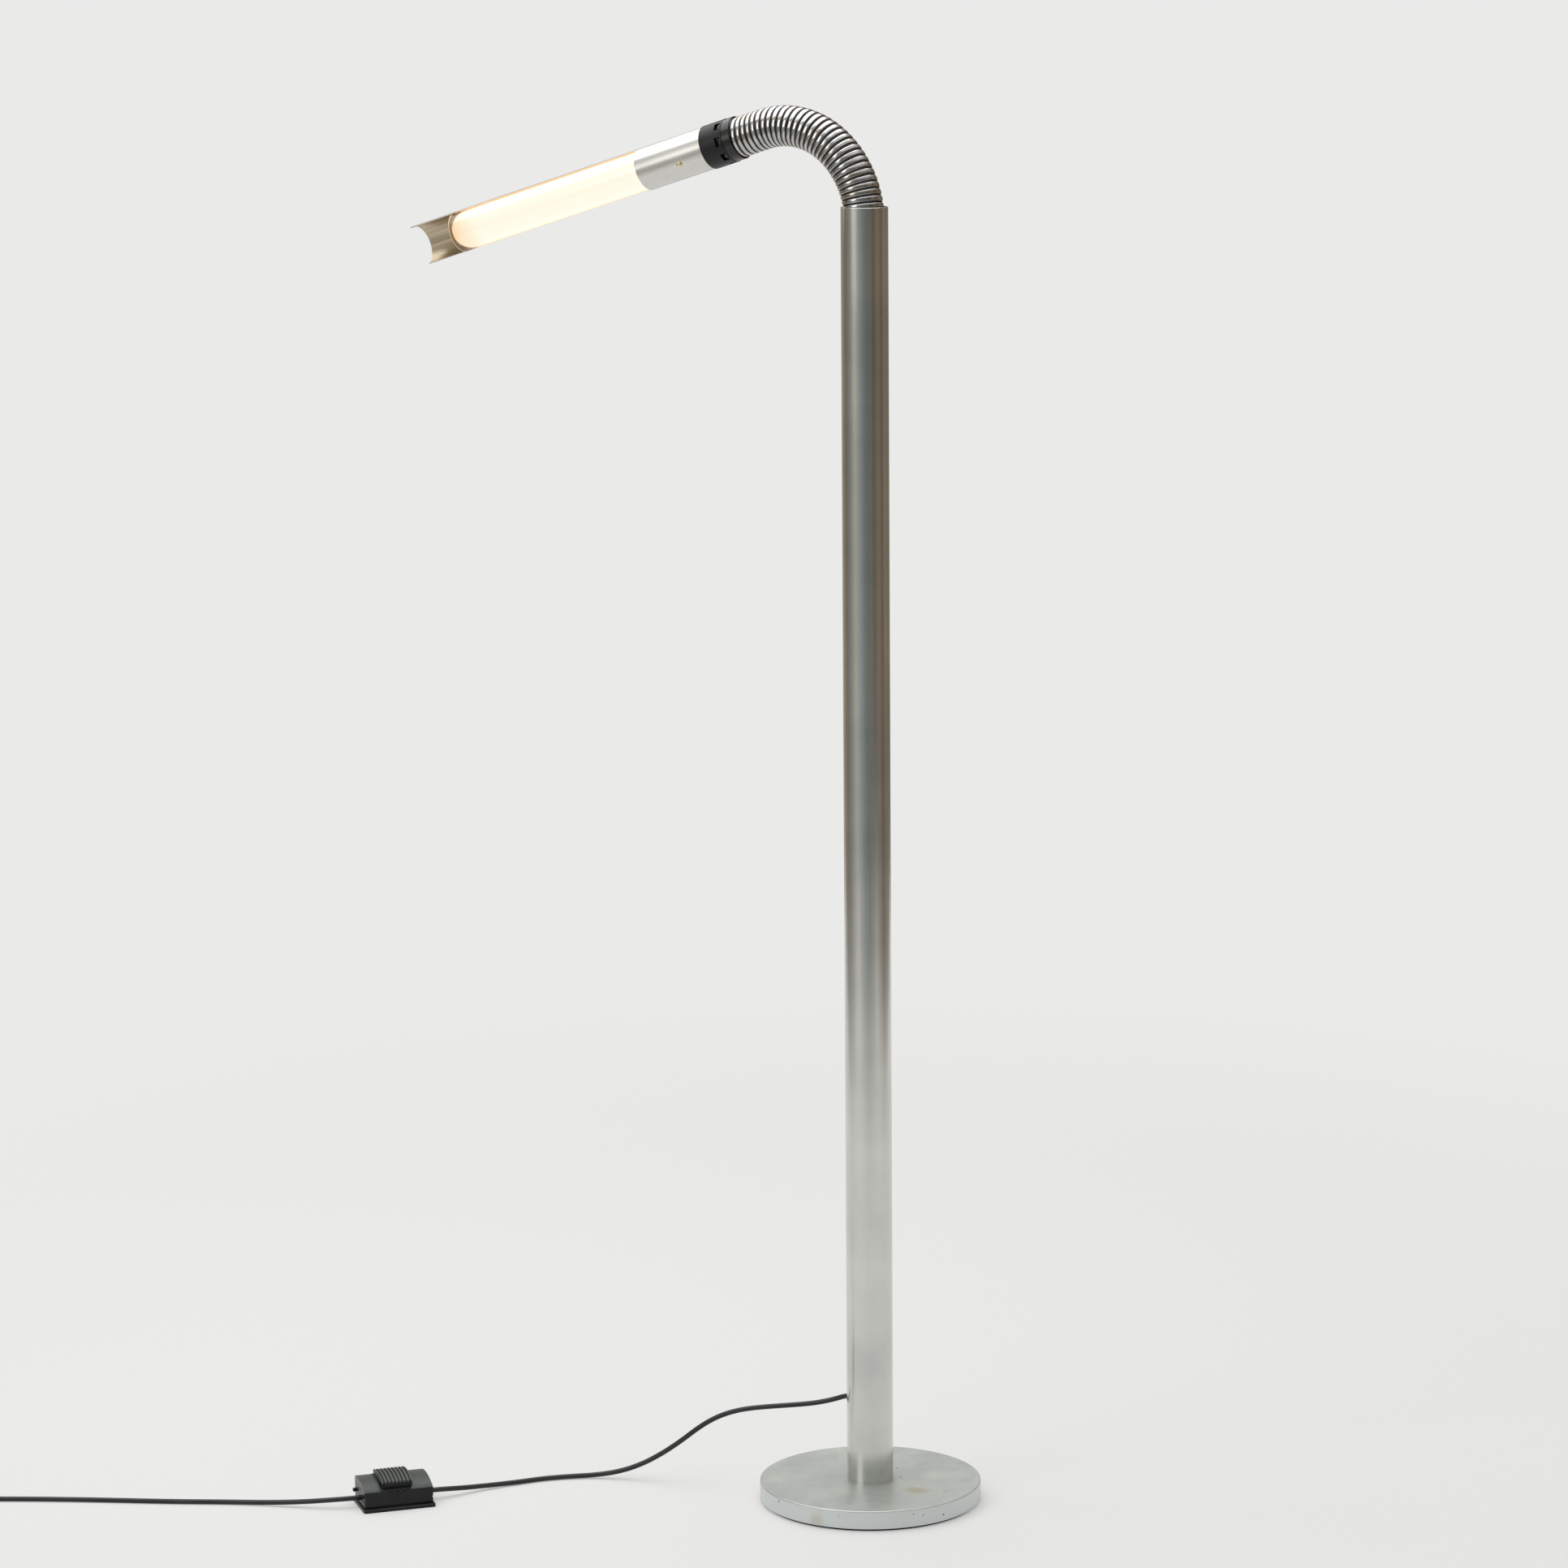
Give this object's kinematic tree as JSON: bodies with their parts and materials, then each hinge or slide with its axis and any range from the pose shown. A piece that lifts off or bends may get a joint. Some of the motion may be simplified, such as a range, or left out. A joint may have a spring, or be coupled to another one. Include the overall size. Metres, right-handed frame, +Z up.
{
  "type": "gooseneck reading floor lamp",
  "caption": "Floor lamp with a round base, straight pole, bending gooseneck and a slim tubular head with a cut-open shade, on a black cord with a foot switch.",
  "frame": {"origin": "middle of the base pad's underside, on the floor under the pole", "axes": "+Z up along the pole; the front of the picture looks along -Y, so the head reaches out to -X and a little to +Y"},
  "size_m": [1.1817, 0.3999, 1.5042],
  "materials": {
    "steel_painted": "satin silver",
    "anodised": "brushed, satin",
    "hose_chrome": "polished",
    "steel_zinc": "zinc plated",
    "brass": "plain",
    "black_plastic": "glossy",
    "black_rubber": "matte",
    "pad_rubber": "matte",
    "flex_black": "satin",
    "clear_glass": "clear",
    "opal_glass": "opal, lit",
    "white_ceramic": "glazed",
    "switch_plastic": "fine satin",
    "spring_steel": "plain"
  },
  "bodies": {
    "stand": {"base_disc": "steel_painted", "base_pad": "pad_rubber", "pole_spigot": "steel_zinc", "base_washer": "steel_zinc", "base_bolt": "steel_zinc", "pole": "anodised", "cord_grommet": "black_rubber", "neck_set_screw": "steel_zinc", "pole_lead": "flex_black", "flex_to_switch": "flex_black", "switch_plate": "switch_plastic", "switch_cover": "switch_plastic", "pedal_pin": "steel_zinc", "switch_block": "black_plastic", "pedal_spring": "spring_steel", "switch_terminals": "brass", "cord_clamps": "switch_plastic", "switch_screws": "steel_zinc", "flex_to_coil": "flex_black", "flex_coil": "flex_black", "flex_to_plug": "flex_black", "plug_boot": "black_rubber", "plug_body": "black_plastic", "plug_pins": "brass"},
    "pedal": {"switch_pedal": "switch_plastic"},
    "neck_0": {"neck_anchor": "steel_zinc", "hose_section_0": "hose_chrome", "neck_lead": "flex_black"},
    "neck_1": {"hose_section_1": "hose_chrome"},
    "neck_2": {"hose_section_2": "hose_chrome"},
    "neck_3": {"hose_section_3": "hose_chrome"},
    "neck_4": {"hose_section_4": "hose_chrome"},
    "neck_5": {"hose_section_5": "hose_chrome"},
    "neck_6": {"hose_section_6": "hose_chrome"},
    "neck_7": {"hose_section_7": "hose_chrome"},
    "neck_8": {"hose_section_8": "hose_chrome"},
    "neck_9": {"hose_section_9": "hose_chrome", "hose_ring": "black_plastic"},
    "head": {"swivel_collar": "black_plastic", "shade": "anodised", "holder_bracket": "steel_zinc", "lamp_holder": "white_ceramic", "holder_nipple": "brass", "holder_nut": "brass", "holder_thread": "brass", "holder_contact": "brass", "holder_screw": "brass", "bulb_contact": "brass", "bulb_cap": "brass", "bulb_glass": "opal_glass", "guard_tube": "clear_glass", "guard_ring": "black_plastic", "head_lead": "flex_black"}
  },
  "joints": [
    {"name": "neck_turn", "type": "hinge", "parent": "stand", "child": "neck_0", "pos_m": [0, 0, 1.381], "axis": [0, 0, 1], "range_deg": [-150, 150]},
    {"name": "neck_lower_bend", "type": "hinge", "parent": "neck_0", "child": "neck_1", "pos_m": [-0.00111, 0.00059, 1.39993], "axis": [-0.4695, -0.8829, 0], "range_deg": [-14.25, 4.28], "deforming": ["neck_lead"]},
    {"name": "neck_bend_2", "type": "hinge", "parent": "neck_1", "child": "neck_2", "pos_m": [-0.00518, 0.00275, 1.41808], "axis": [-0.4695, -0.8829, 0], "range_deg": [-10.55, 3.18], "deforming": ["neck_lead"]},
    {"name": "neck_bend_3", "type": "hinge", "parent": "neck_2", "child": "neck_3", "pos_m": [-0.01211, 0.00644, 1.43508], "axis": [-0.4695, -0.8829, 0], "range_deg": [-10.55, 3.18], "deforming": ["neck_lead"]},
    {"name": "neck_bend_4", "type": "hinge", "parent": "neck_3", "child": "neck_4", "pos_m": [-0.02166, 0.01152, 1.45036], "axis": [-0.4695, -0.8829, 0], "range_deg": [-10.55, 3.18], "deforming": ["neck_lead"]},
    {"name": "neck_bend_5", "type": "hinge", "parent": "neck_4", "child": "neck_5", "pos_m": [-0.03353, 0.01783, 1.4634], "axis": [-0.4695, -0.8829, 0], "range_deg": [-11.57, 3.48], "deforming": ["neck_lead"]},
    {"name": "neck_upper_bend", "type": "hinge", "parent": "neck_5", "child": "neck_6", "pos_m": [-0.04745, 0.02523, 1.47348], "axis": [-0.4695, -0.8829, 0], "range_deg": [-12.21, 3.66], "deforming": ["neck_lead"]},
    {"name": "neck_bend_7", "type": "hinge", "parent": "neck_6", "child": "neck_7", "pos_m": [-0.06294, 0.03346, 1.48], "axis": [-0.4695, -0.8829, 0], "range_deg": [-12.23, 3.68], "deforming": ["neck_lead"]},
    {"name": "neck_bend_8", "type": "hinge", "parent": "neck_7", "child": "neck_8", "pos_m": [-0.07929, 0.04216, 1.48267], "axis": [-0.4695, -0.8829, 0], "range_deg": [-12.23, 3.68], "deforming": ["neck_lead"]},
    {"name": "neck_bend_9", "type": "hinge", "parent": "neck_8", "child": "neck_9", "pos_m": [-0.09578, 0.05092, 1.48135], "axis": [-0.4695, -0.8829, 0], "range_deg": [-13, 3.91], "deforming": ["neck_lead"]},
    {"name": "head_turn", "type": "hinge", "parent": "neck_9", "child": "head", "pos_m": [-0.13054, 0.06941, 1.46998], "axis": [-0.8444, 0.449, -0.2924], "range_deg": [-160, 160]},
    {"name": "pedal_press", "type": "hinge", "parent": "stand", "child": "pedal", "pos_m": [-0.52337, 0.0006, 0.0235], "axis": [0.9455, 0.3256, 0], "range_deg": [0, 4], "stiffness_Nm_per_rad": 2, "springref_deg": -11.46, "deforming": ["pedal_spring"]}
  ],
  "couplings": [
    {"joint": "neck_bend_2", "follows": "neck_lower_bend", "ratio": 0.73895},
    {"joint": "neck_bend_3", "follows": "neck_lower_bend", "ratio": 0.73895},
    {"joint": "neck_bend_4", "follows": "neck_lower_bend", "ratio": 0.73895},
    {"joint": "neck_bend_5", "follows": "neck_lower_bend", "ratio": 0.81053},
    {"joint": "neck_bend_7", "follows": "neck_upper_bend", "ratio": 1},
    {"joint": "neck_bend_8", "follows": "neck_upper_bend", "ratio": 1},
    {"joint": "neck_bend_9", "follows": "neck_upper_bend", "ratio": 1.0631}
  ]
}
